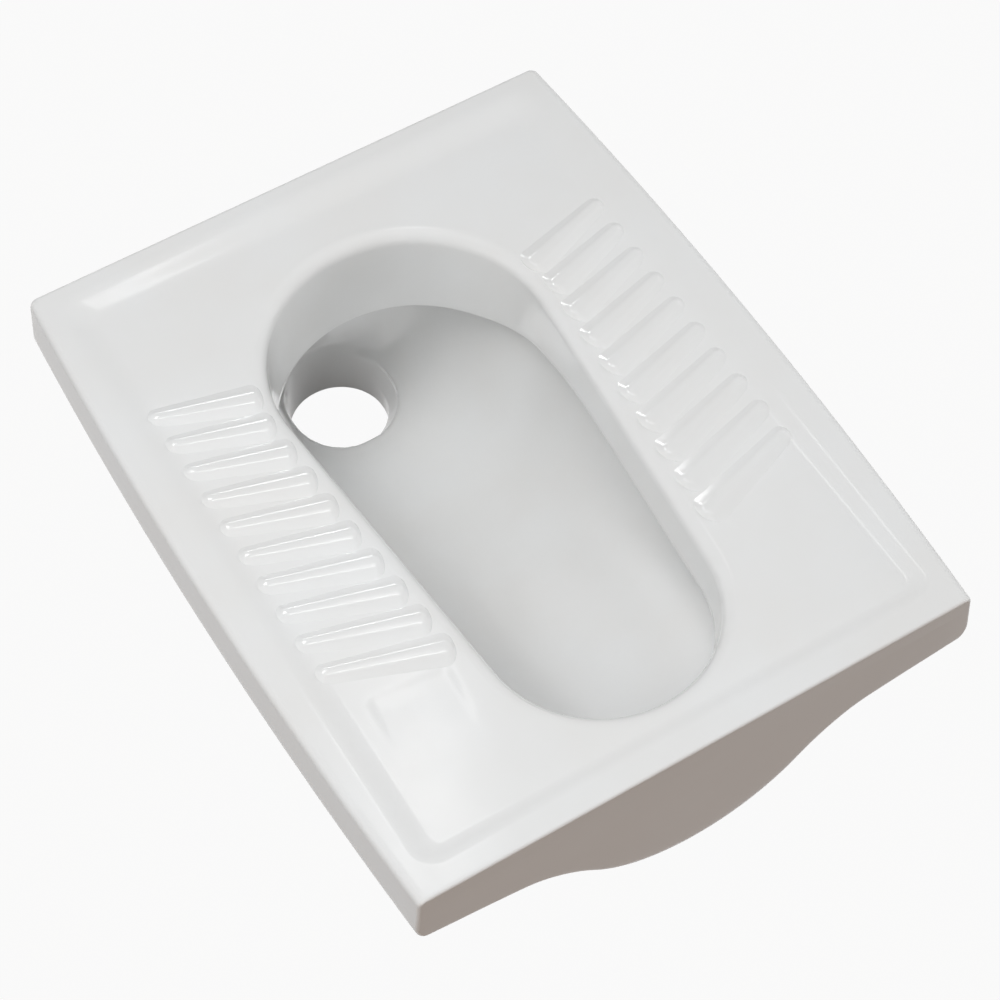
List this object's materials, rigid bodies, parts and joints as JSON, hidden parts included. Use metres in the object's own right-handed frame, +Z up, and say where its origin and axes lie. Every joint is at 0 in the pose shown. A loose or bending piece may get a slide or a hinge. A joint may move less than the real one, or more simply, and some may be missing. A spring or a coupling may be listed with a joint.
{
  "type": "squat toilet pan",
  "caption": "Floor-set squat toilet pan in white glazed china: ribbed foot treads beside an egg-shaped mouth, a flush collar and a sloping bowl with a rear outlet.",
  "frame": {"origin": "under the middle of the deck in plan, level with the lower end of the outlet", "axes": "+X across the pan, to the right as seen from its front; +Y along it, towards the outlet end; +Z up"},
  "size_m": [0.488, 0.6, 0.285],
  "materials": {
    "china": "glossy white glaze",
    "bisque": "matt unglazed body",
    "rubber": "matt moulded rubber"
  },
  "bodies": {
    "root": {"deck": "china", "left_foot_tread": "china", "right_foot_tread": "china", "front_apron": "china", "back_apron": "china", "left_apron": "china", "right_apron": "china", "left_webs": "bisque", "right_webs": "bisque", "flush_collar": "china", "channel_wall": "china", "bowl": "china", "outlet_spigot": "china", "inlet_horn": "bisque", "inlet_cone": "rubber"}
  },
  "joints": []
}
